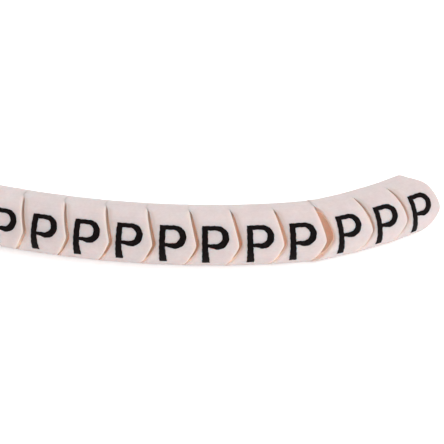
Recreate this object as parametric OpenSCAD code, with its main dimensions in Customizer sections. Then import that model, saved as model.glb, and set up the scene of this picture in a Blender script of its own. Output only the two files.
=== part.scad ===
// Strip of slide-on cable markers. One length of soft round tube has chevron cuts across its
// printed front. The cuts stop short of the back, so the markers stay joined there, fold to
// fold, until one is torn off and slid over a cable. The strip lies on its side and keeps
// the curl of the reel it came from, printed side outward.
// Origin: at the middle of the strip's length and depth, on the surface it lies on.
// +X along the bore of the middle marker, -Y out of its printed front, +Z up.

/* [Tube] */
// Outside diameter of the tube
tube_d = 7.34; // [6:0.02:10]
// Thickness of the wall of the tube
wall_t = 0.9; // [0.5:0.05:1.4]

/* [Markers] */
// Length of one marker, from fold to fold
marker_len = 5; // [4:0.1:9]

/* [Chevron cuts] */
// Slant of a cut above the tip line, in degrees along the skin of the tube
slant_upper = 15; // [0:0.5:18]
// Slant of a cut below the tip line, in degrees along the skin of the tube
slant_lower = 27; // [0:0.5:28]
// How far the tip of a chevron lies ahead of the fold behind it
tip_ahead = 0.7; // [0:0.1:1.2]
// How blunt the tip of a chevron is: the length of skin over which its legs bend into one another
tip_round = 0.6; // [0.2:0.1:1]
// Width of a cut before the curl opens it
kerf = 0.08; // [0.04:0.01:0.2]
// How far in front of the bore axis a cut ends
cut_root = 0.55; // [0.3:0.05:0.9]

/* [Curl] */
// Turn at the first fold, in degrees
fold_first = 4.4; // [0:0.1:8]
// Turn at the last fold, in degrees
fold_last = 6.6; // [0:0.1:8]
// Which fold is pulled wide open, counted from the left, or 0 for none
open_fold = 8; // [0:1:10]
// Extra turn at the fold that is pulled open, in degrees
open_extra = 13.6; // [0:0.2:18]

/* [Hidden] */
NODES = [
    "marker_01", "marker_02", "marker_03", "marker_04", "marker_05", "marker_06",
    "marker_07", "marker_08", "marker_09", "marker_10", "marker_11"
];
$fn = 96;

marker_count = len(NODES);
fold_count = marker_count - 1;
middle = (marker_count + 1) / 2;
tube_r = tube_d / 2;
bore_r = tube_r - wall_t;

// How far the tools reach past the material they cut
past = 1;
reach = tube_r + past;
// Angle round the tube between the points that a cut passes through
cut_step = 5;
// Fine clearance, a quarter of the finest kerf
hair = 0.01;
// Radius at which a cut is drawn, just clear of the skin of the tube
draw_r = tube_r + hair;
// Length along the tube that the longer leg of a chevron takes up
leg_len = tube_r * PI / 2 * tan(max(slant_upper, slant_lower));
// Half the length of tube that a marker is cut from
blank_half = marker_len / 2 + leg_len + tip_ahead + past;
// Length of the tools, to clear the blank from either end
far = 2 * blank_half;

pvc = [0.91, 0.84, 0.82];

// Turn at fold k, with none at the free ends of the strip
function fold_turn(k) =
    k < 1 || k > fold_count ? 0 :
    fold_first + (fold_last - fold_first) * (k - 1) / (fold_count - 1)
    + (k == open_fold ? open_extra : 0);

// All the turns from fold a to fold b
function turns(a, b) = a > b ? 0 : fold_turn(a) + turns(a + 1, b);

// Heading of marker m, with the middle marker along +X
function heading(m) = m < middle ? -turns(m, middle - 1) : turns(middle, m - 1);

// Half a marker's length along its heading
function half_step(m) = marker_len / 2 * [cos(heading(m)), sin(heading(m)), 0];

// Centre of marker m, reached from the middle marker fold by fold
function centre(m) =
    m == middle ? [0, 0, 0] :
    m > middle ? centre(m - 1) + half_step(m - 1) + half_step(m) :
    centre(m + 1) - half_step(m + 1) - half_step(m);

// The blade cuts the tube while it is pressed flat, so each leg of a chevron runs at an even
// slant along the skin, and the two bend into one another at the tip.
// Place of a cut along the tube, at angle a above the tip line
function cut_x(a) =
    let (run = tube_r * a * PI / 180)
    let (bent = sqrt(run * run + tip_round * tip_round) - tip_round)
    tip_ahead - bent * (tan(slant_upper) + tan(slant_lower)) / 2
    - run * (tan(slant_upper) - tan(slant_lower)) / 2;

// Point on the rim of an end of marker m, at angle a round the tube from its front
function rim(m, side, a) =
    let (along = side * (marker_len - kerf) / 2 + cut_x(asin(sin(a))))
    let (out = -tube_r * cos(a))
    centre(m) + along * [cos(heading(m)), sin(heading(m)), 0]
    + out * [-sin(heading(m)), cos(heading(m)), 0];

// The rims of all the ends, and the middle of the space they take up
rims = [
    for (m = [1 : marker_count], side = [-1, 1], a = [0 : cut_step : 360 - cut_step]) rim(m, side, a)
];
rims_x = [for (p = rims) p[0]];
rims_y = [for (p = rims) p[1]];
strip_mid = [(min(rims_x) + max(rims_x)) / 2, (min(rims_y) + max(rims_y)) / 2, -tube_r];

// All that lies beyond a chevron at x = 0, to the right (side 1) or to the left (side -1)
module beyond_cut(side) {
    translate([-side * kerf / 2, reach, 0])
        rotate([90, 0, 0])
            linear_extrude(2 * reach)
                polygon(concat(
                    [[side * far, -reach], [cut_x(-90), -reach]],
                    [for (a = [-90 : cut_step : 90]) [cut_x(a), draw_r * sin(a)]],
                    [[cut_x(90), reach], [side * far, reach]]
                ));
}

// All that lies beyond a fold at x = 0. The fold stands evenly between two markers, so it is
// turned from each of them by half the turn
module beyond_fold(side, turn) {
    rotate([0, 0, side * turn / 2])
        translate([side > 0 ? 0 : -far, -far, -2 * reach])
            cube([far, 2 * far, 4 * reach]);
}

// All that lies in front of the root of a cut, or further ahead of it. One plane serves the
// markers on both sides of the cut: it is square to the marker on the right of the cut
module before_root(side, turn, ahead = 0) {
    rotate([0, 0, side > 0 ? turn : 0])
        translate([-2 * far, -cut_root - ahead - 2 * far, -3 * reach])
            cube([4 * far, 2 * far, 6 * reach]);
}

// What an end of a marker loses at a fold: what lies beyond the cut, in front of its root, and
// what lies beyond the fold, behind that root. The lips of the cut just clear what is behind
module folded_end(side, turn) {
    intersection() {
        beyond_cut(side);
        before_root(side, turn);
    }
    difference() {
        beyond_fold(side, turn);
        before_root(side, turn, hair);
    }
}

// What the right end (side 1) or left end (side -1) of marker m loses. The free ends of the
// strip are cut right through
module end_cut(m, side) {
    k = side > 0 ? m : m - 1;
    translate([side * marker_len / 2, 0, 0])
        if (k < 1 || k > fold_count)
            beyond_cut(side);
        else
            folded_end(side, fold_turn(k));
}

// Round bar along X, centred
module bar(r, half_len) {
    rotate([0, 90, 0])
        cylinder(r = r, h = 2 * half_len, center = true);
}

// Marker m, in its place in the curl
module marker(m) {
    color(pvc)
        translate(centre(m) - strip_mid)
            rotate([0, 0, heading(m)])
                difference() {
                    bar(tube_r, blank_half);
                    bar(bore_r, blank_half + past);
                    end_cut(m, -1);
                    end_cut(m, 1);
                }
}

module marker_01() { marker(1); }
module marker_02() { marker(2); }
module marker_03() { marker(3); }
module marker_04() { marker(4); }
module marker_05() { marker(5); }
module marker_06() { marker(6); }
module marker_07() { marker(7); }
module marker_08() { marker(8); }
module marker_09() { marker(9); }
module marker_10() { marker(10); }
module marker_11() { marker(11); }

marker_01();
marker_02();
marker_03();
marker_04();
marker_05();
marker_06();
marker_07();
marker_08();
marker_09();
marker_10();
marker_11();
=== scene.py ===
"""Looks of a curled strip of slide-on cable markers.

The strip is one length of soft vinyl tube. Chevron cuts divide its front into markers, the
uncut back carries them round the curl, and each marker has a letter printed on its front.
"""

import logging
import math
from dataclasses import dataclass
from enum import Enum
from typing import Any

import bmesh
import bpy
import numpy as np
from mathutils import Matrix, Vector


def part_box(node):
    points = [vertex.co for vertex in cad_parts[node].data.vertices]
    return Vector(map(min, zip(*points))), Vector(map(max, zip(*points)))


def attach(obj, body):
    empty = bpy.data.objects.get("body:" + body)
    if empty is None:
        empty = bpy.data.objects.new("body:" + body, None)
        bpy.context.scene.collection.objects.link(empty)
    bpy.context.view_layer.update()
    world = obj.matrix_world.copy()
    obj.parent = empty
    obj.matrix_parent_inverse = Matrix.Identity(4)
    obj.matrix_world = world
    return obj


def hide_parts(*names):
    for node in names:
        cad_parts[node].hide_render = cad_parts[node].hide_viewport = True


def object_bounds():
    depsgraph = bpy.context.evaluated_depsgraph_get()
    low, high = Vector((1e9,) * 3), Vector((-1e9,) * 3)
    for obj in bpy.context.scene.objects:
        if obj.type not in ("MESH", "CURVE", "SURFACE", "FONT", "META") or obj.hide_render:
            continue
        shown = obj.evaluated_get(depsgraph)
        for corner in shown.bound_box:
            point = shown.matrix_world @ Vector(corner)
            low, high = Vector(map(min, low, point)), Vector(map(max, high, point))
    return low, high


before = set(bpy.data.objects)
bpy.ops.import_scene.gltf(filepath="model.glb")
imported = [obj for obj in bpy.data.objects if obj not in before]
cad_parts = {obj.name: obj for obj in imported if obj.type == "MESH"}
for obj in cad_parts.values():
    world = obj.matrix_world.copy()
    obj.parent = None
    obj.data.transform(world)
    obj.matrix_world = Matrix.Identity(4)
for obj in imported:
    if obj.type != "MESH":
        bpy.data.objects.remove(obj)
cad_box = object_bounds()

log = logging.getLogger("cable_marker")

MM = 0.001
BODY = "root"


class End(Enum):
    """The two ends of a marker, with the sign of each along its bore."""

    LEFT = -1
    RIGHT = 1


def smooth_step(x: np.ndarray) -> np.ndarray:
    """Ease from 0 to 1: three x squared less two x cubed, held outside 0 to 1.

    Args:
        x: Places along the ease.

    Returns:
        The eased values.
    """
    held = np.clip(x, 0.0, 1.0)
    return held * held * (3.0 - 2.0 * held)


def end_spacing(count: int) -> np.ndarray:
    """Steps from 0 to 1 that are closest at both ends: half of one less a cosine.

    Args:
        count: How many values.

    Returns:
        The values, in rising order.
    """
    return 0.5 - 0.5 * np.cos(np.linspace(0.0, math.pi, count))


@dataclass(frozen=True)
class StripSizes:
    """Driving sizes of the strip, in millimetres and degrees, as its solids have them.

    Attributes:
        marker_count: How many markers the strip has.
        tube_r: Outside radius of the tube.
        wall_t: Thickness of its wall.
        marker_len: Length of one marker, from fold to fold.
        slant_upper: Slant of a cut above the tip line, along the skin.
        slant_lower: Slant of a cut below the tip line, along the skin.
        tip_ahead: How far the tip of a chevron lies ahead of its fold.
        tip_round: Length of skin over which the legs of a chevron bend into one another.
        kerf: Width of a cut before the curl opens it.
        cut_root: How far in front of the bore axis a cut ends.
        fold_first: Turn at the first fold.
        fold_last: Turn at the last fold.
        open_fold: Which fold is pulled wide open, counted from the left.
        open_extra: Extra turn at that fold.
    """

    marker_count: int = 11
    tube_r: float = 3.67
    wall_t: float = 0.9
    marker_len: float = 5.0
    slant_upper: float = 15.0
    slant_lower: float = 27.0
    tip_ahead: float = 0.7
    tip_round: float = 0.6
    kerf: float = 0.08
    cut_root: float = 0.55
    fold_first: float = 4.4
    fold_last: float = 6.6
    open_fold: int = 8
    open_extra: float = 13.6

    @property
    def middle(self) -> int:
        """Index of the middle marker."""
        return self.marker_count // 2

    def cut_line(self, lift: np.ndarray, blunt: float) -> np.ndarray:
        """Place of a cut along the tube from its fold. Each leg runs at an even slant along the
        skin, and the two bend into one another at the tip on a hyperbola. The legs lie where
        tip_round puts them, however blunt the tip is.

        Args:
            lift: Angles round the tube, above the tip line.
            blunt: Length of skin over which the legs bend into one another, in millimetres.

        Returns:
            Places in millimetres.
        """
        upper, lower = (math.tan(math.radians(slant)) for slant in (self.slant_upper, self.slant_lower))
        run = self.tube_r * lift
        bent = np.hypot(run, blunt) - self.tip_round
        return self.tip_ahead - bent * (upper + lower) / 2 - run * (upper - lower) / 2

    def node(self, marker: int) -> str:
        """Name of the solid that a marker stands for."""
        return f"marker_{marker + 1:02d}"

    def turns(self) -> np.ndarray:
        """Turn at each fold: an even run from first to last, and more at the open fold.

        Returns:
            The turns in radians, from left to right.
        """
        run = np.linspace(self.fold_first, self.fold_last, self.marker_count - 1)
        run[self.open_fold - 1] += self.open_extra
        return np.radians(run)


class Curl:
    """Where the markers lie: their headings, their centres and the folds between them."""

    # How many points of a cut are tried for its tip: as many as the solids' cuts pass through
    TIP_STEPS = 37

    def __init__(self, sizes: StripSizes, fold_reach: float = 1.2) -> None:
        """Lay the markers out fold by fold from the middle one.

        Args:
            sizes: Driving sizes of the strip.
            fold_reach: How far from a fold the back is bent, in millimetres.
        """
        self.sizes = sizes
        self.fold_reach = fold_reach
        half = sizes.marker_len / 2
        heading = np.concatenate([[0.0], np.cumsum(sizes.turns())])
        self.heading = heading - heading[sizes.middle]
        along = np.stack([np.cos(self.heading), np.sin(self.heading)], axis=-1)
        steps = half * (along[:-1] + along[1:])
        centre = np.concatenate([np.zeros((1, 2)), np.cumsum(steps, axis=0)])
        place = self.middle_place()
        self.centre = centre - centre[sizes.middle] + place[:2]
        self.height = place[2]
        self.along = along
        self.along_before = np.concatenate([along[:1], along[:-1]])
        self.along_after = np.concatenate([along[1:], along[-1:]])

    def middle_place(self) -> np.ndarray:
        """Find the middle marker from the box of its solid, which ends at the tip of a cut.

        Returns:
            Its centre, in millimetres in the frame.
        """
        low, high = (np.array(corner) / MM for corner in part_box(self.sizes.node(self.sizes.middle)))
        place = (low + high) / 2
        lift = np.linspace(-math.pi / 2, math.pi / 2, self.TIP_STEPS)
        tip = self.sizes.cut_line(lift, self.sizes.tip_round).max()
        place[0] = high[0] - (self.sizes.marker_len - self.sizes.kerf) / 2 - tip
        return place

    def placed(self, flat: np.ndarray, up: np.ndarray) -> np.ndarray:
        """Join places in the plane of the curl with heights above the bore axis.

        Args:
            flat: Places along X and Y.
            up: Heights above the bore axis.

        Returns:
            The points, in millimetres in the frame.
        """
        return np.concatenate([flat, up[..., None] + self.height], axis=-1)

    def straight(self, marker: np.ndarray, s: np.ndarray, y: np.ndarray, z: np.ndarray) -> np.ndarray:
        """Points of straight markers: centre, plus s along the bore, plus y across it.

        Args:
            marker: Index of each point's marker.
            s: Place along the bore from the marker's centre.
            y: Place behind the bore axis.
            z: Height above the bore axis.

        Returns:
            The points, in millimetres in the frame.
        """
        along = self.along[marker]
        across = np.stack([-along[..., 1], along[..., 0]], axis=-1)
        flat = self.centre[marker] + s[..., None] * along + y[..., None] * across
        return self.placed(flat, z)

    def bent(self, marker: np.ndarray, s: np.ndarray, y: np.ndarray, z: np.ndarray) -> np.ndarray:
        """Points of the bent back. The bore axis rounds each fold on a parabola that starts
        and ends at fold_reach from the fold, and runs straight outside it.

        Args:
            marker: Index of each point's marker.
            s: Place along the bore from the marker's centre.
            y: Place behind the bore axis.
            z: Height above the bore axis.

        Returns:
            The points, in millimetres in the frame.
        """
        side = np.where(s > 0, 1.0, -1.0)
        half = self.sizes.marker_len / 2
        right = (s > 0)[..., None]
        before = np.where(right, self.along[marker], self.along_before[marker])
        after = np.where(right, self.along_after[marker], self.along[marker])
        corner = self.centre[marker] + (side * half)[..., None] * self.along[marker]
        past = s - side * half
        u = np.clip(past / self.fold_reach / 2 + 0.5, 0.0, 1.0)
        rest = (past - (2 * u - 1) * self.fold_reach)[..., None]
        u = u[..., None]
        tangent = (1 - u) * before + u * after
        tangent /= np.linalg.norm(tangent, axis=-1, keepdims=True)
        across = np.stack([-tangent[..., 1], tangent[..., 0]], axis=-1)
        axis = corner + self.fold_reach * (u * u * after - (1 - u) ** 2 * before) + rest * tangent
        return self.placed(axis + y[..., None] * across, z)


class Value:
    """A shader value. Python operators on it add Math nodes."""

    def __init__(self, graph: "Graph", socket: Any) -> None:
        """Wrap an output socket.

        Args:
            graph: The material's graph.
            socket: The output socket that holds the value.
        """
        self.graph = graph
        self.socket = socket

    def _math(self, operation: str, *operands: Any) -> "Value":
        """Add a Math node that takes these operands.

        Args:
            operation: Blender's name of the operation.
            operands: Values or numbers, in order.

        Returns:
            The result.
        """
        return self.graph.add("ShaderNodeMath", {"operation": operation}, dict(enumerate(operands)))

    def __add__(self, other: Any) -> "Value":
        """Sum."""
        return self._math("ADD", self, other)

    def __mul__(self, other: Any) -> "Value":
        """Product."""
        return self._math("MULTIPLY", self, other)

    # The reflected forms, for a number that stands first
    __radd__ = __add__
    __rmul__ = __mul__

    def between(self, low: float, high: float) -> "Value":
        """0 below low, 1 above high and an even ramp in between.

        Args:
            low: Where the ramp starts.
            high: Where it ends.

        Returns:
            The ramp.
        """
        inputs = {"Value": self, "From Min": low, "From Max": high}
        return self.graph.add("ShaderNodeMapRange", {"clamp": True}, inputs)


class Graph:
    """The node graph of a material or of the world."""

    # Sockets that a Mix node uses for colours: factor, first and second, and its output
    MIX_INPUTS = (0, 6, 7)
    MIX_OUTPUT = 2

    def __init__(self, owner: bpy.types.Material | bpy.types.World) -> None:
        """Start an empty graph.

        Args:
            owner: The material or the world.
        """
        self.owner = owner
        owner.use_nodes = True
        self.tree = owner.node_tree
        self.tree.nodes.clear()

    def add(
        self, kind: str, settings: dict | None = None, inputs: dict | None = None, output: Any = 0
    ) -> Value:
        """Add any node.

        Args:
            kind: The node's type.
            settings: Its own settings, set before its sockets.
            inputs: Values, numbers or colours for its sockets, by name or number.
            output: Name or number of the socket to return.

        Returns:
            The chosen output.
        """
        node = self.tree.nodes.new(kind)
        for key, value in (settings or {}).items():
            setattr(node, key, value)
        for key, value in (inputs or {}).items():
            if isinstance(value, Value):
                self.tree.links.new(value.socket, node.inputs[key])
            else:
                node.inputs[key].default_value = value
        return Value(self, node.outputs[output] if node.outputs else None)

    def mix(self, factor: Any, first: Any, second: Any) -> Value:
        """Mix two colours.

        Args:
            factor: Share of the second colour.
            first: Colour at 0.
            second: Colour at 1.

        Returns:
            The mixed colour.
        """
        colours = [c if isinstance(c, Value) else (*c, 1.0) for c in (first, second)]
        inputs = dict(zip(self.MIX_INPUTS, (factor, *colours)))
        return self.add("ShaderNodeMix", {"data_type": "RGBA"}, inputs, self.MIX_OUTPUT)

    def scaled(self, colour: tuple, amount: Value) -> Value:
        """Multiply a colour by a value.

        Args:
            colour: The colour.
            amount: The value.

        Returns:
            The product.
        """
        return self.add("ShaderNodeVectorMath", {"operation": "SCALE"}, {0: colour, "Scale": amount})

    def noise(self, where: Value, scale: float | tuple, detail: float) -> Value:
        """Noise from 0 to 1.

        Args:
            where: Coordinates.
            scale: Waves for each unit of them, as one number or as three.
            detail: Octaves.

        Returns:
            The noise.
        """
        if isinstance(scale, tuple):
            where, scale = self.add("ShaderNodeMapping", {}, {"Vector": where, "Scale": scale}), 1.0
        inputs = {"Vector": where, "Scale": scale, "Detail": detail}
        return self.add("ShaderNodeTexNoise", {"noise_dimensions": "3D"}, inputs)

    def attribute(self, name: str) -> Value:
        """Read a value that the mesh carries.

        Args:
            name: The attribute's name.

        Returns:
            The value.
        """
        return self.add("ShaderNodeAttribute", {"attribute_name": name}, output="Fac")

    def surface(self, shader: Value) -> None:
        """Make a shader the surface of the material, or the light of the world.

        Args:
            shader: The shader.
        """
        is_world = isinstance(self.owner, bpy.types.World)
        kind = "ShaderNodeOutputWorld" if is_world else "ShaderNodeOutputMaterial"
        self.add(kind, {}, {"Surface": shader})


@dataclass(frozen=True)
class VinylFinish:
    """Soft pinkish white vinyl, mottled and a little rubbed, that scatters light within and lets it through.
    Its wall within is painted warmer than its skin, standing in for light glowing through the thin vinyl.
    Its cuts get a painted highlight at their lips, painted brown shade in and beside them, and a painted
    glow, an emission.
    """

    name: str = "soft_vinyl"
    # Colours of the skin and its mottling, of rubbed spots, and of what the cuts show: painted warmth within
    # the wall, a painted highlight at their lips and painted brown shade
    skin: tuple = (0.825, 0.74, 0.73)
    shade: tuple = (0.75, 0.66, 0.65)
    scuff: tuple = (0.60, 0.53, 0.48)
    # Painted warmth within the wall, for light glowing through the thin vinyl
    painted_warmth: tuple = (0.84, 0.715, 0.65)
    # Painted highlight at the lips of the cuts
    lip_highlight: tuple = (0.98, 0.80, 0.74)
    # Painted brown shade in and beside the cuts and along the folds
    brown: tuple = (0.42, 0.32, 0.27)
    # Share of the wall at which the painted warmth within is reached, and how strong the painted highlight
    # at the lips is
    painted_warmth_depth: float = 0.6
    lip_highlight_share: float = 0.7
    # Noise, as waves in each metre, or as waves along the strip and round it
    mottle_scale: float = 520.0
    fleck_scale: float = 2600.0
    grain_scale: float = 9000.0
    streak_scale: tuple = (6.0, 150.0, 1.0)
    scuff_scale: tuple = (28.0, 75.0, 1.0)
    detail: float = 3.0
    # How the noise becomes tone: mottle and fleck take their shares, and streaks take the rest
    mottle_share: float = 0.4
    fleck_share: float = 0.35
    tone_range: tuple = (0.35, 0.65)
    scuff_range: tuple = (0.62, 0.74)
    scuff_share: float = 0.22
    # Surface, with the height of its grain in millimetres
    roughness: tuple = (0.42, 0.56)
    specular: float = 0.3
    bump_strength: float = 0.12
    bump_height: float = 0.02
    # Light spread within the vinyl, to a depth in millimetres, and the colour of the painted glow in the
    # cuts, an emission that stands in for light coming through it
    glow: float = 1.0
    glow_colour: tuple = (1.0, 0.66, 0.54)
    glow_depth: float = 0.9
    # Colour of the painted glow in the cuts
    through: tuple = (0.80, 0.62, 0.49)

    def skin_colour(self, graph: Graph, strip: Value, tone: Value) -> Value:
        """Colour of the skin: mottled by its tone, and rubbed in spots.

        Args:
            graph: The material's graph.
            strip: Place on the strip.
            tone: Tone of the mottling.

        Returns:
            The colour.
        """
        rubbed = graph.noise(strip, self.scuff_scale, self.detail).between(*self.scuff_range)
        clean = graph.mix(tone.between(*self.tone_range), self.shade, self.skin)
        return graph.mix(rubbed * self.scuff_share, clean, self.scuff)

    def cut_colour(self, graph: Graph, skin: Value) -> Value:
        """Colour with what the cuts show: a painted highlight at the lips, painted warmth within the wall,
        and painted brown shade over both.

        Args:
            graph: The material's graph.
            skin: Colour of the skin.

        Returns:
            The colour.
        """
        # Painted highlight at the lips, painted warmth within the wall, then painted brown shade over both
        highlighted = graph.mix(graph.attribute(StripMesh.PAINTED_HIGHLIGHT) * self.lip_highlight_share, skin, self.lip_highlight)
        depth = graph.attribute(StripMesh.DEPTH).between(0.0, self.painted_warmth_depth)
        warmed = graph.mix(depth, highlighted, self.painted_warmth)
        return graph.mix(graph.attribute(StripMesh.PAINTED_SHADE), warmed, self.brown)

    def material(self) -> bpy.types.Material:
        """Build the material.

        Returns:
            The material.
        """
        graph = Graph(bpy.data.materials.new(self.name))
        place = graph.add("ShaderNodeTexCoord", output="Object")
        strip = graph.add("ShaderNodeUVMap", {"uv_map": StripMesh.UV_NAME})
        scales = (self.mottle_scale, self.fleck_scale, self.grain_scale)
        mottle, fleck, grain = (graph.noise(place, scale, self.detail) for scale in scales)
        streak = graph.noise(strip, self.streak_scale, self.detail)
        streak_share = 1 - self.mottle_share - self.fleck_share
        tone = self.mottle_share * mottle + self.fleck_share * fleck + streak_share * streak
        smooth, rough = self.roughness
        bump = {"Height": grain + streak, "Strength": self.bump_strength, "Distance": self.bump_height * MM}
        body = {
            "Base Color": self.cut_colour(graph, self.skin_colour(graph, strip, tone)),
            "Roughness": smooth + (rough - smooth) * mottle,
            "Normal": graph.add("ShaderNodeBump", {}, bump),
            # Painted glow: an emission in the cuts that stands in for light coming through the vinyl
            "Emission Color": graph.scaled(self.through, graph.attribute(StripMesh.PAINTED_GLOW)),
            "Emission Strength": 1.0,
            "Subsurface Weight": self.glow,
            "Subsurface Radius": self.glow_colour,
            "Subsurface Scale": self.glow_depth * MM,
            "Specular IOR Level": self.specular,
        }
        graph.surface(graph.add("ShaderNodeBsdfPrincipled", {}, body))
        return graph.owner


@dataclass(frozen=True)
class InkFinish:
    """Black marking ink, a little thin in places."""

    name: str = "marking_ink"
    full: tuple = (0.0040, 0.0022, 0.0022)
    thin: tuple = (0.016, 0.010, 0.010)
    # Noise, as waves in each metre, and the stretch of it over which the ink thins
    blotch_scale: float = 3200.0
    blotch_range: tuple = (0.52, 0.75)
    detail: float = 3.0
    roughness: float = 0.6
    specular: float = 0.06

    def material(self) -> bpy.types.Material:
        """Build the material.

        Returns:
            The material.
        """
        graph = Graph(bpy.data.materials.new(self.name))
        place = graph.add("ShaderNodeTexCoord", output="Object")
        blotch = graph.noise(place, self.blotch_scale, self.detail)
        body = {
            "Base Color": graph.mix(blotch.between(*self.blotch_range), self.full, self.thin),
            "Roughness": self.roughness,
            "Specular IOR Level": self.specular,
        }
        graph.surface(graph.add("ShaderNodeBsdfPrincipled", {}, body))
        return graph.owner


class StripMesh:
    """A mesh object of the part, made from arrays of points and faces."""

    UV_NAME = "strip"
    DEPTH = "depth"
    # Attributes of painted light: a highlight at the lips of the cuts, a glow in them, and brown shade
    PAINTED_HIGHLIGHT = "painted_highlight"
    PAINTED_GLOW = "painted_glow"
    PAINTED_SHADE = "painted_shade"

    def __init__(self, name: str, points: np.ndarray, faces: np.ndarray) -> None:
        """Make a mesh object from points and four-sided faces.

        Args:
            name: The object's name.
            points: Points in millimetres, in the frame.
            faces: Four indices a face.
        """
        self.mesh = bpy.data.meshes.new(name)
        self.mesh.from_pydata((points.reshape(-1, 3) * MM).tolist(), [], faces.tolist())
        self.object = bpy.data.objects.new(name, self.mesh)
        bpy.context.scene.collection.objects.link(self.object)

    def add_attribute(self, name: str, values: np.ndarray) -> None:
        """Give each point a value.

        Args:
            name: The attribute's name.
            values: One value a point.
        """
        layer = self.mesh.attributes.new(name, "FLOAT", "POINT")
        layer.data.foreach_set("value", values.reshape(-1).astype(np.float32))

    def add_uv(self, corners: np.ndarray) -> None:
        """Give each corner of each face its place on the strip.

        Args:
            corners: Pairs of values from 0 to 1, face by face.
        """
        layer = self.mesh.uv_layers.new(name=self.UV_NAME)
        layer.data.foreach_set("uv", corners.reshape(-1).astype(np.float32))

    def weld(self, distance: float) -> None:
        """Merge points that lie together, drop what collapses and shade the rest smooth.

        Args:
            distance: How close points are merged, in millimetres.
        """
        work = bmesh.new()
        work.from_mesh(self.mesh)
        bmesh.ops.remove_doubles(work, verts=work.verts, dist=distance * MM)
        loose = [vert for vert in work.verts if not vert.link_faces]
        bmesh.ops.delete(work, geom=loose, context="VERTS")
        work.to_mesh(self.mesh)
        work.free()
        self.mesh.shade_smooth()

    def dress(self, material: bpy.types.Material) -> None:
        """Give the piece its material and let it ride on the part."""
        self.mesh.materials.append(material)
        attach(self.object, BODY)


@dataclass(frozen=True)
class EndTrim:
    """How the blade leaves the ends of the markers, in millimetres.

    Attributes:
        tip_blunt: Length of skin over which the legs of a chevron bend into one another.
        slips: How far each cut lies ahead of its even place, from left to right.
        left_round: How far the edge to the right of a cut is drawn down.
        left_run: Length of that drawn edge along the bore.
        right_round: Radius of the crisp edge to the left of a cut.
        free_round: Radius of the worn edges at the ends of the strip.
    """

    tip_blunt: float = 0.3
    slips: tuple = (-0.3, -0.05, 0.0, 0.0, 0.0, -0.15, -0.05, -0.2, 0.05, 0.0)
    left_round: float = 0.24
    left_run: float = 0.45
    right_round: float = 0.06
    free_round: float = 0.1


@dataclass(frozen=True)
class TornEnd:
    """The right end of the strip, torn off a longer one, in millimetres and degrees.

    Attributes:
        ahead: How far its front stands ahead of an even cut.
        torn_back: How far its upper corner is torn back.
        torn_from: Angle from the front at which the tear starts.
        torn_to: Angle at which it ends.
        torn_fade: Angle over which it deepens, and over which it ends.
    """

    ahead: float = 0.3
    torn_back: float = 0.8
    torn_from: float = 50.0
    torn_to: float = 155.0
    torn_fade: float = 40.0

    def shift(self, angle: np.ndarray) -> np.ndarray:
        """How far the end stands ahead of an even cut. The front runs ahead by half of one plus the
        cosine of the angle, and the upper corner is torn back.

        Args:
            angle: Angles round the tube from its front.

        Returns:
            Lengths in millimetres.
        """
        turned = np.degrees(np.mod(angle, 2 * math.pi))
        rising = smooth_step((turned - self.torn_from) / self.torn_fade)
        torn = self.torn_back * rising * smooth_step((self.torn_to - turned) / self.torn_fade)
        return self.ahead * (1 + np.cos(angle)) / 2 - torn


@dataclass(frozen=True)
class CutGlow:
    """Painted glow in the cuts: an emission that stands in for light coming through the vinyl. Levels are 1
    for plain light.

    Attributes:
        reach: Length along the bore over which the glow falls off, in millimetres.
        bore_from: Share of the wall at which the bore's glow starts.
        rim: Level on the rim of the bore.
        narrow: Level on the bore by a narrow cut.
        opened: Level on the bore by the open cut.
        face: Level deep in the faces of a narrow cut.
        face_from: Share of the wall at which those faces glow fully.
        low_face: Level that the faces gain in the lower part of a narrow cut.
        low_from: Share of the wall at which they have all of it.
    """

    reach: float = 1.2
    bore_from: float = 0.6
    rim: float = 0.2
    narrow: float = 0.8
    opened: float = 1.5
    face: float = 0.08
    face_from: float = 0.5
    low_face: float = 0.2
    low_from: float = 0.3


@dataclass(frozen=True)
class CutHighlightShade:
    """Painted highlight and painted brown shade at the cuts, as shares. Lengths are millimetres and angles
    degrees.

    Attributes:
        highlight_reach: Length over which the painted highlight at a crisp edge fades.
        left_highlight: How strong the painted highlight on the drawn edges is, where a crisp edge is 1.
        free_highlight: How strong it is at the strip's own right end.
        crevice_shade: How much painted brown shade the faces of narrow cuts get.
        crevice_shade_from: Share of the wall at which they get all of it.
        crevice_shade_reach: Length over which that shade fades.
        drawn_shade: How much painted brown shade the drawn edges get.
        open_shade: The same by the open cut.
        drawn_reach: Length over which that fades.
        unshaded_below: Angle from the front below which a cut gets no painted shade.
        shade_fade: Angle over which the painted shade comes in above it.
    """

    highlight_reach: float = 0.22
    left_highlight: float = 0.35
    free_highlight: float = 0.1
    crevice_shade: float = 0.9
    crevice_shade_from: float = 0.3
    crevice_shade_reach: float = 0.15
    drawn_shade: float = 0.3
    open_shade: float = 0.2
    drawn_reach: float = 0.22
    unshaded_below: float = -45.0
    shade_fade: float = 50.0

    def shaded_share(self, angle: np.ndarray) -> np.ndarray:
        """How far each angle is past the unshaded lower part of a cut, from 0 to 1."""
        return smooth_step((angle - self.unshaded_below) / self.shade_fade)


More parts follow.
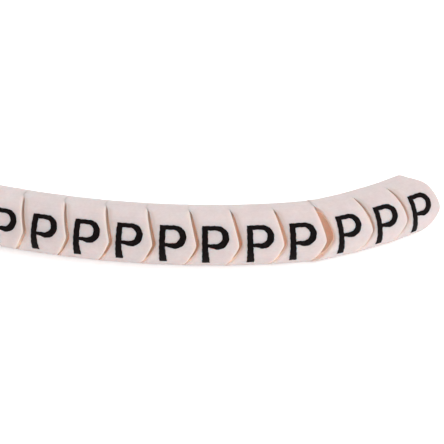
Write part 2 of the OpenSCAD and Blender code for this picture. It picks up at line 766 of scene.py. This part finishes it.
@dataclass(frozen=True)
class FoldMarks:
    """Painted shade along the top of the folds, past the upper roots of the cuts, and the skin raised beside
    the crease.

    Lengths are millimetres, and angles are degrees from the front.

    Attributes:
        mark_from: Angle at which the marks start.
        mark_fade: Angle over which they start, and over which they end.
        mark_reach: Length over which they fade on each side of the fold.
        crease: How strong the painted shade along the crease over the open fold is.
        crease_to: Angle at which it ends.
        score: How strong the painted shade line over the first fold is.
        score_to: Angle at which the scores end.
        score_folds: How many folds it takes for the scores to die out.
        proud: How far the skin stands up beside the crease.
        proud_reach: Length over which it settles again.
    """

    mark_from: float = 72.0
    mark_fade: float = 12.0
    mark_reach: float = 0.12
    crease: float = 0.6
    crease_to: float = 118.0
    score: float = 0.6
    score_to: float = 101.0
    score_folds: int = 6
    proud: float = 0.14
    proud_reach: float = 1.2

    def past_root(self, angle: np.ndarray, until: float) -> np.ndarray:
        """Where a fold gets its painted shade: from mark_from to another angle, with both ends eased.

        Args:
            angle: Angles round the tube, in degrees.
            until: Angle at which the mark ends.

        Returns:
            Shares from 0 to 1.
        """
        rising = smooth_step((angle - self.mark_from) / self.mark_fade)
        return rising * smooth_step((until - angle) / self.mark_fade)

    def step_up(self, distance: np.ndarray) -> np.ndarray:
        """How far the skin stands up beside the crease: one exponential less a shorter one."""
        return self.proud * (np.exp(-distance / self.proud_reach) - np.exp(-distance / self.mark_reach))


@dataclass(frozen=True)
class StripGrid:
    """Where the points of the strip lie, for each marker, row and column.

    Attributes:
        in_left: Which points lie in the left half of their marker.
        wall: Share of the wall that lies outside each point.
        inset: How far the rounding sets each point back, in edge rounds.
        radius: Distance from the bore axis, in millimetres.
        angle: Angle round the tube from its front, in radians.
        along: Place along the bore from the marker's centre, in millimetres.
        to_end: Distance from each of the marker's ends, in millimetres.
    """

    in_left: np.ndarray
    wall: np.ndarray
    inset: np.ndarray
    radius: np.ndarray
    angle: np.ndarray
    along: np.ndarray
    to_end: dict[End, np.ndarray]


@dataclass(frozen=True)
class MarkerStrip:
    """The tube with its chevron cuts, as one closed skin.

    A row runs along the tube at one angle round it. The front rows reach from the lower root
    of the cuts to the upper one, and the back rows close the ring. A column runs round the
    tube. The columns of a marker follow its outside, its right end, its bore and its left end.

    Attributes:
        sizes: Driving sizes of the strip.
        curl: Where its markers lie.
        trim: How the blade leaves the ends of its markers.
        torn: Its right end.
        light: Painted glow in its cuts, an emission that stands in for light through the vinyl.
        tone: Painted highlight and brown shade at its cuts.
        marks: Painted shade over its folds, and the skin raised beside the crease.
        name: The piece's name.
        front_rows: Rows over the front.
        back_rows: Rows over the back.
        skin_columns: Columns along the outside of a marker.
        bore_columns: Columns along its bore.
        round_steps: Columns on each rounded edge of an end.
        face_steps: Columns on the face between those edges.
        root_blend: Depth over which a cut closes towards its root, in millimetres.
        weld_distance: How close points are merged, in millimetres.
    """

    sizes: StripSizes
    curl: Curl
    trim: EndTrim = EndTrim()
    torn: TornEnd = TornEnd()
    light: CutGlow = CutGlow()
    tone: CutHighlightShade = CutHighlightShade()
    marks: FoldMarks = FoldMarks()
    name: str = "marker_strip"
    front_rows: int = 80
    back_rows: int = 44
    skin_columns: int = 21
    bore_columns: int = 11
    round_steps: int = 4
    face_steps: int = 3
    root_blend: float = 1.0
    weld_distance: float = 0.0005

    @property
    def rows(self) -> int:
        """How many rows there are round the tube."""
        return self.front_rows + self.back_rows

    @property
    def markers(self) -> np.ndarray:
        """Index of each marker, on the first axis."""
        return np.arange(self.sizes.marker_count)[:, None, None]

    def is_free(self, end: End) -> np.ndarray:
        """Which markers are free at an end, because the strip ends there."""
        return self.markers == (self.sizes.marker_count - 1 if end is End.RIGHT else 0)

    def is_opened(self, end: End) -> np.ndarray:
        """Which marker has the cut that is pulled open at an end."""
        return self.markers == self.sizes.open_fold - (1 if end is End.RIGHT else 0)

    def is_narrow(self, end: End) -> np.ndarray:
        """Which markers have a narrow cut at an end: one that is neither free nor pulled open."""
        return ~self.is_free(end) & ~self.is_opened(end)

    def edge(self, end: End) -> tuple[np.ndarray, np.ndarray]:
        """Rounding of the edges of an end. The blade leaves a crisp edge on the marker to the left
        of a cut, and draws down the edge of the one to the right. A free end is worn.

        Args:
            end: Which end.

        Returns:
            Its depth into the wall and its length along the bore, for each marker.
        """
        trim, free = self.trim, self.is_free(end)
        cut = (trim.left_round, trim.left_run) if end is End.LEFT else (trim.right_round, trim.right_round)
        return np.where(free, trim.free_round, cut[0]), np.where(free, trim.free_round, cut[1])

    def row_shares(self) -> tuple[np.ndarray, np.ndarray]:
        """Place of each row: from -1 to 1 over the front, then from 0 to 1 over the back.

        Returns:
            The front places, held at 1 on back rows, and the back places, held at 0 on front rows.
        """
        front = np.linspace(-1.0, 1.0, self.front_rows, endpoint=False)
        back = np.linspace(0.0, 1.0, self.back_rows, endpoint=False)
        ones, noughts = np.ones(self.back_rows), np.zeros(self.front_rows)
        return np.concatenate([front, ones]), np.concatenate([noughts, back])

    def angle(self, radius: np.ndarray) -> np.ndarray:
        """Angle round the tube from its front. The roots of the cuts are on fixed rows at any
        radius: there the cosine of the angle is the root's distance over the radius.

        Args:
            radius: Radius of each point, with the rows on the second axis.

        Returns:
            Angles in radians.
        """
        front, back = (share[None, :, None] for share in self.row_shares())
        root = np.arccos(self.sizes.cut_root / radius)
        return front * root + back * (2 * math.pi - 2 * root)

    def skin_angle(self) -> np.ndarray:
        """Angle of each row from the front, on the outside of the tube, in radians."""
        return self.angle(np.full((1, self.rows, 1), self.sizes.tube_r))

    def row_angle(self) -> np.ndarray:
        """Angle of each row from the front, on the outside of the tube, in degrees."""
        return np.degrees(self.skin_angle())

    def cut_line(self, angle: np.ndarray, radius: np.ndarray) -> np.ndarray:
        """Place of a cut along the tube from its fold. The blade goes straight through, so a cut
        lies as far along within the wall as it does on the skin at the same height.

        Args:
            angle: Angles round the tube.
            radius: Radius of each point.

        Returns:
            Places in millimetres.
        """
        lift = np.arcsin(radius * np.sin(angle) / self.sizes.tube_r)
        return self.sizes.cut_line(lift, self.trim.tip_blunt)

    def join_line(self, angle: np.ndarray, radius: np.ndarray) -> np.ndarray:
        """Place of the line between two markers: the cut in front, and behind the roots an easy
        line from the upper root to the lower one.

        Args:
            angle: Angles round the tube.
            radius: Radius of each point.

        Returns:
            Places in millimetres.
        """
        back = smooth_step(self.row_shares()[1])[None, :, None]
        root = np.arccos(self.sizes.cut_root / radius)
        upper, lower = self.cut_line(root, radius), self.cut_line(-root, radius)
        behind = upper + (lower - upper) * back
        is_back = (np.arange(self.rows) >= self.front_rows)[None, :, None]
        return np.where(is_back, behind, self.cut_line(angle, radius))

    def columns(self) -> dict[str, np.ndarray]:
        """The section of a marker, column by column.

        Returns:
            span, the place from the left end to the right; wall, the share of the wall that lies
            outside; drop and inset, in edge rounds, for the rounded edges.
        """
        turn = np.linspace(0.0, math.pi / 2, self.round_steps + 1)
        step = np.linspace(0.0, 1.0, self.face_steps + 2)[1:-1]
        outer_drop, outer_inset = 1 - np.cos(turn[1:]), 1 - np.sin(turn[1:])
        inner_drop, inner_inset = np.sin(turn[:-1]) - 1, 1 - np.cos(turn[:-1])
        end_wall = np.concatenate([np.zeros(self.round_steps), step, np.ones(self.round_steps)])
        end_drop = np.concatenate([outer_drop, 1 - 2 * step, inner_drop])
        end_inset = np.concatenate([outer_inset, np.zeros(self.face_steps), inner_inset])
        skin, bore = end_spacing(self.skin_columns), end_spacing(self.bore_columns)[::-1]
        ends = np.ones(end_wall.size)
        section = {
            "span": np.concatenate([skin, ends, bore, 0 * ends]),
            "wall": np.concatenate([0 * skin, end_wall, np.ones(bore.size), end_wall[::-1]]),
            "drop": np.concatenate([0 * skin, end_drop, 0 * bore, end_drop[::-1]]),
            "inset": np.concatenate([0 * skin + 1, end_inset, 0 * bore + 1, end_inset[::-1]]),
        }
        return {key: value[None, None, :] for key, value in section.items()}

    def joined(self, end: End) -> np.ndarray:
        """How far each marker's end is joined to its neighbour: 1 behind the roots, easing to 0
        in front of them over root_blend, and 0 all round at the free ends of the strip.

        Args:
            end: Which end.

        Returns:
            Shares for each marker and row.
        """
        depth = self.sizes.cut_root - self.sizes.tube_r * np.cos(self.skin_angle())
        return smooth_step(1 + depth / self.root_blend) * ~self.is_free(end)

    def slip(self, end: End) -> np.ndarray:
        """How far the cut at an end lies ahead of its even place, because the tube slipped as it
        was fed to the blade. The free ends keep their place.

        Args:
            end: Which end.

        Returns:
            Lengths for each marker, in millimetres.
        """
        slips = (*self.trim.slips, 0.0) if end is End.RIGHT else (0.0, *self.trim.slips)
        return np.array(slips)[:, None, None]

    def end_place(self, end: End, angle: np.ndarray, radius: np.ndarray, inset: np.ndarray) -> np.ndarray:
        """Place of an end along the bore, from the marker's centre: half a marker, plus the cut and
        its slip, less half the kerf and the rounding. The kerf closes where the end is joined.

        Args:
            end: Which end.
            angle: Angles round the tube.
            radius: Radius of each point.
            inset: Rounding, in edge rounds.

        Returns:
            Places in millimetres.
        """
        sign = end.value
        free_line = self.cut_line(angle, radius)
        if end is End.RIGHT:
            free_line = free_line + self.torn.shift(angle)
        line = np.where(self.is_free(end), free_line, self.join_line(angle, radius))
        back_off = (1 - self.joined(end)) * (self.sizes.kerf / 2 + inset * self.edge(end)[1])
        return sign * self.sizes.marker_len / 2 + line + self.slip(end) - sign * back_off

    def grid(self) -> StripGrid:
        """Lay out the rows and columns of all the markers, with their edges rounded and the skin
        raised beside the crease of the open fold.

        Returns:
            Where the points lie, before the strip is curled.
        """
        section = self.columns()
        span, wall, inset = section["span"], section["wall"], section["inset"]
        in_left = span < 0.5
        rounding = np.where(in_left, *((1 - self.joined(end)) * self.edge(end)[0] for end in End))
        radius = self.sizes.tube_r - wall * self.sizes.wall_t - section["drop"] * rounding
        angle = self.angle(radius)
        left, right = (self.end_place(end, angle, radius, inset) for end in End)
        along = left + (right - left) * span
        to_end = {End.LEFT: along - left, End.RIGHT: right - along}
        beside = self.marks.past_root(self.row_angle(), self.marks.crease_to)
        raised = self.is_opened(End.LEFT) * beside * (wall == 0)
        radius = radius + raised * self.marks.step_up(to_end[End.LEFT])
        return StripGrid(in_left, wall, inset, radius, angle, along, to_end)

    def points(self, grid: StripGrid) -> np.ndarray:
        """Curl the strip. Front rows keep each marker straight, back rows follow the bent tube,
        and rows near the roots lie between the two.

        Args:
            grid: Where the points lie before.

        Returns:
            Points for each marker, row and column, in millimetres.
        """
        y, z = -grid.radius * np.cos(grid.angle), grid.radius * np.sin(grid.angle)
        marker = np.broadcast_to(self.markers, grid.along.shape)
        blend = np.maximum(*(self.joined(end) for end in End))[..., None]
        straight, bent = (way(marker, grid.along, y, z) for way in (self.curl.straight, self.curl.bent))
        return straight + (bent - straight) * blend

    def painted_lip_highlight(self, grid: StripGrid) -> np.ndarray:
        """How much painted highlight each point gets by the cuts: most at a crisp edge, falling off
        exponentially.

        Args:
            grid: Where the points lie.

        Returns:
            Shares from 0 to 1.
        """
        tone = self.tone
        fading = {end: (1 - self.joined(end)) * np.exp(-grid.to_end[end] / tone.highlight_reach) for end in End}
        crisp = np.where(self.is_free(End.RIGHT), tone.free_highlight, 1.0)
        return np.clip(tone.left_highlight * fading[End.LEFT] + crisp * fading[End.RIGHT], 0.0, 1.0)

    def painted_glow_level(self, grid: StripGrid) -> np.ndarray:
        """How much painted glow each point gets: an emission that stands in for light coming through
        the vinyl. On the bore it falls off exponentially from each cut. The faces of a narrow cut take a
        part of it, deep in the wall and low on the cut.

        Args:
            grid: Where the points lie.

        Returns:
            Levels of the painted glow, from 0.
        """
        light = self.light
        inside = smooth_step((grid.wall - light.bore_from) / (1 - light.bore_from))
        low = 1 - self.tone.shaded_share(self.row_angle())
        on_face = light.face * smooth_step(grid.wall / light.face_from)
        on_face = (on_face + light.low_face * smooth_step(grid.wall / light.low_from) * low) * (1 - inside)
        levels = []
        for end in End:
            distance = grid.to_end[end]
            near = np.exp(-distance / light.reach) * (1 - self.joined(end)) * ~self.is_free(end)
            level = np.where(self.is_narrow(end), light.narrow, light.opened)
            within = inside * np.where(distance > 0, level, light.rim)
            levels.append(near * (within + on_face * self.is_narrow(end)))
        return np.maximum(*levels)

    def fold_shade(self, end: End) -> np.ndarray:
        """How much painted shade darkens the skin along a fold, past the root of its cut: along the
        crease of the open fold, and along the other folds, most at the left end of the strip.

        Args:
            end: Which end of each marker.

        Returns:
            Shares for each marker and row.
        """
        marks, angle = self.marks, self.row_angle()
        fold = self.markers - (1 if end is End.LEFT else 0)
        score = marks.score * np.clip(1 - fold / marks.score_folds, 0.0, 1.0) * self.is_narrow(end)
        crease = marks.crease * self.is_opened(end)
        score_shaded = score * marks.past_root(angle, marks.score_to)
        return score_shaded + crease * marks.past_root(angle, marks.crease_to)

    def painted_shade(self, grid: StripGrid) -> np.ndarray:
        """How much painted brown shade each point gets. It darkens the crisp faces of narrow cuts and
        the drawn edges across from them, both less towards the lower roots, and the skin along the folds.
        Each falls off exponentially from the end it belongs to.

        Args:
            grid: Where the points lie.

        Returns:
            Shares from 0 to 1.
        """
        tone = self.tone
        face = smooth_step(grid.wall / tone.crevice_shade_from) * np.exp(-grid.to_end[End.RIGHT] / tone.crevice_shade_reach)
        crevice_shaded = tone.crevice_shade * face * (1 - self.joined(End.RIGHT)) * self.is_narrow(End.RIGHT)
        shade = np.where(self.is_opened(End.LEFT), tone.open_shade, tone.drawn_shade)
        edge = (1 - self.joined(End.LEFT)) * np.exp(-grid.to_end[End.LEFT] / tone.drawn_reach)
        drawn = shade * edge * ~self.is_free(End.LEFT)
        share = (crevice_shaded + drawn) * tone.shaded_share(self.row_angle())
        for end in End:
            fading = np.exp(-grid.to_end[end] / self.marks.mark_reach)
            share = share + self.fold_shade(end) * (grid.wall == 0) * fading
        return np.clip(share, 0.0, 1.0)

    def fields(self, grid: StripGrid) -> dict[str, np.ndarray]:
        """What the finish reads at each point.

        Args:
            grid: Where the points lie.

        Returns:
            Values by the name of their attribute.
        """
        free = np.where(grid.in_left, *(self.is_free(end) for end in End))
        wall = np.broadcast_to(grid.wall, grid.along.shape)
        # The face of a free end gets the painted warmth of the wall all over
        return {
            StripMesh.DEPTH: np.maximum(wall, free * (1 - grid.inset)),
            StripMesh.PAINTED_HIGHLIGHT: self.painted_lip_highlight(grid),
            StripMesh.PAINTED_GLOW: self.painted_glow_level(grid),
            StripMesh.PAINTED_SHADE: self.painted_shade(grid),
        }

    def faces(self, columns: int) -> tuple[np.ndarray, np.ndarray]:
        """Faces of all the markers, each a ring of rows and columns. Where a marker runs on into
        its neighbour, behind the roots, it has no end.

        Args:
            columns: How many columns a marker has.

        Returns:
            Four indices a face, and the marker, row and column of each face's first corner.
        """
        marker, row, column = np.indices((self.sizes.marker_count, self.rows, columns))
        turned_row, next_column = (row + 1) % self.rows, (column + 1) % columns

        def index(r: np.ndarray, c: np.ndarray) -> np.ndarray:
            """Index of the point at a row and column."""
            return (marker * self.rows + r) * columns + c

        near = [index(row, column), index(row, next_column)]
        quads = np.stack([*near, index(turned_row, next_column), index(turned_row, column)], axis=-1)
        end_columns = 2 * self.round_steps + self.face_steps
        at_right = (column >= self.skin_columns - 1) & (column < self.skin_columns + end_columns)
        at_left = column >= columns - end_columns - 1
        behind = row >= self.front_rows
        runs_right = at_right & (marker < self.sizes.marker_count - 1)
        runs_left = at_left & (marker > 0)
        kept = ~(behind & (runs_right | runs_left))
        return quads[kept], np.stack([marker, row, column], axis=-1)[kept]

    def corner_places(self, grid: StripGrid, first: np.ndarray) -> np.ndarray:
        """Place of each corner of each face on the strip, along it and round it.

        Args:
            grid: Where the points lie.
            first: Marker, row and column of each face's first corner.

        Returns:
            Pairs from 0 to 1, face by face.
        """
        marker, row, column = first.T
        rows = np.stack([row, row, row + 1, row + 1], axis=-1)
        columns = np.stack([column, column + 1, column + 1, column], axis=-1) % grid.along.shape[2]
        length = self.sizes.marker_count * self.sizes.marker_len
        run = (grid.along + self.markers * self.sizes.marker_len) / length
        return np.stack([run[marker[:, None], rows % self.rows, columns], rows / self.rows], axis=-1)

    def build(self, finish: VinylFinish) -> StripMesh:
        """Make the strip and dress it.

        Args:
            finish: Its finish.

        Returns:
            The strip.
        """
        grid = self.grid()
        faces, first = self.faces(grid.along.shape[2])
        piece = StripMesh(self.name, self.points(grid), faces)
        for name, values in self.fields(grid).items():
            piece.add_attribute(name, values)
        piece.add_uv(self.corner_places(grid, first))
        piece.weld(self.weld_distance)
        piece.dress(finish.material())
        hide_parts(*[self.sizes.node(m) for m in range(self.sizes.marker_count)])
        return piece


@dataclass(frozen=True)
class Wave:
    """One sine wave of a wandering edge: its rate, its start in phases and its height."""

    rate: float
    start: float
    height: float = 1.0

    def at(self, place: np.ndarray, phase: float) -> np.ndarray:
        """Height times the sine of a sum: rate times place, plus start times phase."""
        return self.height * np.sin(self.rate * place + self.start * phase)


@dataclass(frozen=True)
class Lettering:
    """The printed letters: an upright stroke and a round bowl on each marker, laid on its skin.

    Letter places are millimetres from the marker's centre, along the bore and up the skin.
    """

    sizes: StripSizes
    curl: Curl
    # The letter: its stem, its bowl and the thickness of their strokes
    stem_left: float = -1.34
    stem_w: float = 0.72
    foot_w: float = 0.92
    top: float = 2.54
    foot: float = -2.72
    bowl_right: float = 1.93
    bowl_foot: float = -0.42
    bar_t: float = 0.56
    bowl_t: float = 0.81
    tail_t: float = 0.45
    lower_t: float = 0.74
    # Shares of a stroke: where the stem starts to widen, each run of the bowl, where its tail thins
    foot_from: float = 0.55
    run_share: float = 0.25
    tail_from: float = 0.7
    # Thickness of the ink, and how far it sinks into the skin
    ink_t: float = 0.02
    sink: float = 0.01
    # Unevenness of the press: on the first markers, on each marker, and from one marker on
    short_foot: float = 0.32
    short_until: float = 5.0
    short_fade: float = 2.0
    lean_back: float = 0.1
    register: tuple = (0.1, 0.1, 0.2, 0.15, 0.15, 0.0, 0.1, -0.05, -0.15, -0.05, 0.1)
    askew_from: int = 8
    askew_rise: float = 0.2
    askew_lean: float = 0.17
    # How far the edges wander, and the waves that they wander on
    wander: float = 0.02
    wave_phase: float = 1.7
    waves_along: tuple = (Wave(7.0, 1.0), Wave(17.0, 2.0, 0.6))
    waves_up: tuple = (Wave(8.0, 0.8), Wave(19.0, 1.3, 0.6))
    # Points along each stroke and across it
    steps_along: int = 48
    steps_across: int = 6

    def stem(self) -> np.ndarray:
        """The upright stroke: straight on its left, wider towards its foot on its right.

        Returns:
            Places on the skin, up the stroke and across it.
        """
        up = np.linspace(0.0, 1.0, self.steps_along)[:, None]
        across = np.linspace(0.0, 1.0, self.steps_across)[None, :]
        width = self.stem_w + (self.foot_w - self.stem_w) * (1 - smooth_step(up / self.foot_from))
        x = self.stem_left + width * across
        return np.stack([x, np.broadcast_to(self.foot + (self.top - self.foot) * up, x.shape)], axis=-1)

    def arch(self, start: float, high: float, low: float, right: float) -> np.ndarray:
        """A line that runs right, turns back on a half circle and runs left again.

        Args:
            start: Where it starts and ends along the bore.
            high: Height of the upper run.
            low: Height of the lower run.
            right: How far right the turn reaches.

        Returns:
            Places on the skin along the line.
        """
        radius = (high - low) / 2
        centre = right - radius
        u = np.linspace(0.0, 1.0, self.steps_along)
        turn = np.clip((u - self.run_share) / (1 - 2 * self.run_share), 0.0, 1.0) * math.pi
        reach = np.clip(np.minimum(u, 1 - u) / self.run_share, 0.0, 1.0)
        x = start + (centre - start) * reach + radius * np.sin(turn)
        return np.stack([x, (high + low) / 2 + radius * np.cos(turn)], axis=-1)

    def bowl(self) -> np.ndarray:
        """The bowl: a band between an outer and an inner arch, thinner where it meets the stem.

        Returns:
            Places on the skin, along the band and across it.
        """
        start = self.stem_left + self.stem_w
        outer = self.arch(start, self.top, self.bowl_foot, self.bowl_right)
        low, right = self.bowl_foot + self.lower_t, self.bowl_right - self.bowl_t
        inner = self.arch(start, self.top - self.bar_t, low, right)
        u = np.linspace(0.0, 1.0, self.steps_along)
        tail = smooth_step((u - self.tail_from) / (1 - self.tail_from))
        outer[:, 1] += tail * (self.lower_t - self.tail_t)
        across = np.linspace(0.0, 1.0, self.steps_across)[None, :, None]
        return inner[:, None] + (outer - inner)[:, None] * across

    def wandered(self, places: np.ndarray, marker: int) -> np.ndarray:
        """Let the edges of a stroke wander as pressed ink does: two sine waves in each direction,
        with their own start on each marker.

        Args:
            places: Places on the skin.
            marker: Which marker.

        Returns:
            The moved places.
        """
        along, up = places[..., 0], places[..., 1]
        phase = self.wave_phase * marker
        shift_along = sum(wave.at(up, phase) for wave in self.waves_along)
        shift_up = sum(wave.at(along, phase) for wave in self.waves_up)
        return places + self.wander * np.stack([shift_along, shift_up], axis=-1)

    def pressed(self, places: np.ndarray, marker: int) -> np.ndarray:
        """Print a letter a little unevenly, as the press does, each with its own register. On the
        first markers of the strip the foot is short and the letter leans back. On the last ones
        the letter sits higher and its foot leans ahead.

        Args:
            places: Places on the skin.
            marker: Which marker.

        Returns:
            The moved places.
        """
        below = 1 - (places[..., 1] - self.foot) / (self.top - self.foot)
        early = np.clip((self.short_until - marker) / self.short_fade, 0.0, 1.0)
        askew = max(0, marker + 1 - self.askew_from)
        ahead = self.register[marker] + self.askew_lean * askew * below**2
        ahead = ahead + self.lean_back * early * (1 - 2 * below)
        rise = self.short_foot * early * below**2 + self.askew_rise * (askew > 0)
        return places + np.stack([ahead, rise], axis=-1)

    def on_skin(self, places: np.ndarray, marker: int) -> np.ndarray:
        """Lay places on the outside of a marker: along the bore, and up the skin as an angle.

        Args:
            places: Places on the skin.
            marker: Which marker.

        Returns:
            Points in millimetres.
        """
        angle = places[..., 1] / self.sizes.tube_r
        radius = self.sizes.tube_r + self.ink_t - self.sink
        index = np.full(angle.shape, marker)
        return self.curl.straight(index, places[..., 0], -radius * np.cos(angle), radius * np.sin(angle))

    @staticmethod
    def sheet_faces(rows: int, columns: int, first: int) -> np.ndarray:
        """Faces of an open sheet of rows and columns.

        Args:
            rows: How many rows.
            columns: How many columns.
            first: Index of its first point.

        Returns:
            Four indices a face.
        """
        row, column = np.indices((rows - 1, columns - 1))
        corner = first + row * columns + column
        return np.stack([corner, corner + 1, corner + columns + 1, corner + columns], axis=-1).reshape(-1, 4)

    def build(self, marker: int, material: bpy.types.Material) -> StripMesh:
        """Make the letter on one marker.

        Args:
            marker: Which marker.
            material: Its ink.

        Returns:
            The letter.
        """
        stem, bowl = self.stem(), self.bowl()[::-1]
        pressed = [self.pressed(self.wandered(stroke, marker), marker) for stroke in (stem, bowl)]
        strokes = [self.on_skin(stroke, marker).reshape(-1, 3) for stroke in pressed]
        shape = (self.steps_along, self.steps_across)
        faces = np.concatenate([self.sheet_faces(*shape, 0), self.sheet_faces(*shape, strokes[0].shape[0])])
        piece = StripMesh(f"letter_{marker + 1:02d}", np.concatenate(strokes), faces)
        film = piece.object.modifiers.new("film", "SOLIDIFY")
        film.thickness = self.ink_t * MM
        film.offset = -1.0
        piece.mesh.shade_smooth()
        piece.dress(material)
        return piece


@dataclass(frozen=True)
class Lamp:
    """A square soft light that faces the strip, with its place and size in metres."""

    name: str
    place: tuple
    level: float
    size: float = 0.5

    def hang(self) -> None:
        """Hang the light. Its level is what it gives on a surface at the strip that faces it."""
        data = bpy.data.lights.new(self.name, "AREA")
        data.shape, data.size = "SQUARE", self.size
        reach = Vector(self.place).length
        data.energy = self.level * math.pi * 4 * reach * reach
        light = bpy.data.objects.new(self.name, data)
        light.location = self.place
        light.rotation_euler = (-Vector(self.place)).to_track_quat("-Z", "Y").to_euler()
        bpy.context.scene.collection.objects.link(light)


@dataclass(frozen=True)
class Studio:
    """A white floor in even light, three soft lamps and a camera with a long lens.

    The frame's width is millimetres at the strip, and so is the aim, from the middle marker's
    centre. The lens and its sensor are millimetres too, the elevation is degrees, and what is
    left is metres or levels of light.
    """

    sizes: StripSizes
    curl: Curl
    elevation: float = 22.3
    frame_w: float = 53.5
    aim_right: float = 1.06
    aim_up: float = 1.58
    lens: float = 1000.0
    sensor: float = 36.0
    clip: tuple = (0.1, 10.0)
    floor_size: float = 0.8
    floor_colour: tuple = (0.93, 0.93, 0.93)
    floor_glow: float = 0.2
    floor_lift: float = 0.3
    world_level: float = 0.5
    lamps: tuple = (
        Lamp("key", (0.52, -0.48, 0.26), 0.26),
        Lamp("top", (0.0, -0.1, 0.8), 0.24),
        Lamp("fill", (-0.45, 0.4, 0.5), 0.18),
    )

    def make_camera(self) -> None:
        """Aim a long lens at the strip, so that the frame spans frame_w at the strip."""
        tilt = math.radians(self.elevation)
        back = Vector((0.0, -math.cos(tilt), math.sin(tilt)))
        up = Vector((0.0, math.sin(tilt), math.cos(tilt)))
        aim = Vector((*self.curl.centre[self.sizes.middle], self.curl.height))
        aim += Vector((self.aim_right, 0.0, 0.0)) + self.aim_up * up
        distance = self.frame_w * self.lens / self.sensor
        data = bpy.data.cameras.new("camera")
        data.lens, data.sensor_width = self.lens, self.sensor
        data.clip_start, data.clip_end = self.clip
        camera = bpy.data.objects.new("camera", data)
        camera.location = (aim + back * distance) * MM
        camera.rotation_euler = (-back).to_track_quat("-Z", "Y").to_euler()
        bpy.context.scene.collection.objects.link(camera)
        bpy.context.scene.camera = camera

    @staticmethod
    def seen_ray(graph: Graph) -> Value:
        """Find the rays that show the background: from the camera, or passed on by gloss or glass.

        Args:
            graph: The graph of the floor's material or of the world.

        Returns:
            1 for such a ray, and 0 for any other.
        """
        kinds = ("Is Camera Ray", "Is Glossy Ray", "Is Transmission Ray")
        seen = [graph.add("ShaderNodeLightPath", output=kind) for kind in kinds]
        return (seen[0] + seen[1] + seen[2]).between(0.0, 1.0)

    def make_floor(self, height: float) -> None:
        """Lay a white floor that glows a little, as a light table does, and keeps the strip's shadow.

        Args:
            height: Its height, in metres.
        """
        half = self.floor_size / 2
        side = np.array([-half, half])
        x, y = np.meshgrid(side, side)
        points = np.stack([x, y, np.full_like(x, height)], axis=-1).reshape(-1, 3)
        mesh = bpy.data.meshes.new("floor")
        mesh.from_pydata(points.tolist(), [], [[0, 1, 3, 2]])
        floor = bpy.data.objects.new("floor", mesh)
        bpy.context.scene.collection.objects.link(floor)
        graph = Graph(bpy.data.materials.new("white_floor"))
        matte = graph.add("ShaderNodeBsdfDiffuse", {}, {"Color": (*self.floor_colour, 1.0)})
        level = self.floor_glow + self.floor_lift * self.seen_ray(graph)
        lift = graph.add("ShaderNodeEmission", {}, {"Strength": level})
        graph.surface(graph.add("ShaderNodeAddShader", {}, {0: matte, 1: lift}))
        mesh.materials.append(graph.owner)

    def make_world(self) -> None:
        """Surround the strip with even white light, and show plain white behind it."""
        graph = Graph(bpy.data.worlds.new("studio"))
        level = self.world_level + (1 - self.world_level) * self.seen_ray(graph)
        graph.surface(graph.add("ShaderNodeBackground", {}, {"Strength": level}))
        bpy.context.scene.world = graph.owner

    def build(self) -> None:
        """Set up the floor, the light and the camera."""
        bpy.context.scene.view_settings.view_transform = "Standard"
        self.make_world()
        self.make_floor(cad_box[0][2])
        for lamp in self.lamps:
            lamp.hang()
        self.make_camera()


def main() -> None:
    """Build the strip, its letters and the studio, and report each piece."""
    logging.basicConfig(level=logging.INFO, format="%(name)s: %(message)s")
    sizes = StripSizes()
    curl = Curl(sizes)
    strip = MarkerStrip(sizes, curl).build(VinylFinish())
    log.info("%s: %d faces", strip.object.name, len(strip.mesh.polygons))
    ink = InkFinish().material()
    lettering = Lettering(sizes, curl)
    for marker in range(sizes.marker_count):
        letter = lettering.build(marker, ink)
        log.info("%s: %d faces", letter.object.name, len(letter.mesh.polygons))
    Studio(sizes, curl).build()


if __name__ == "__main__":
    main()
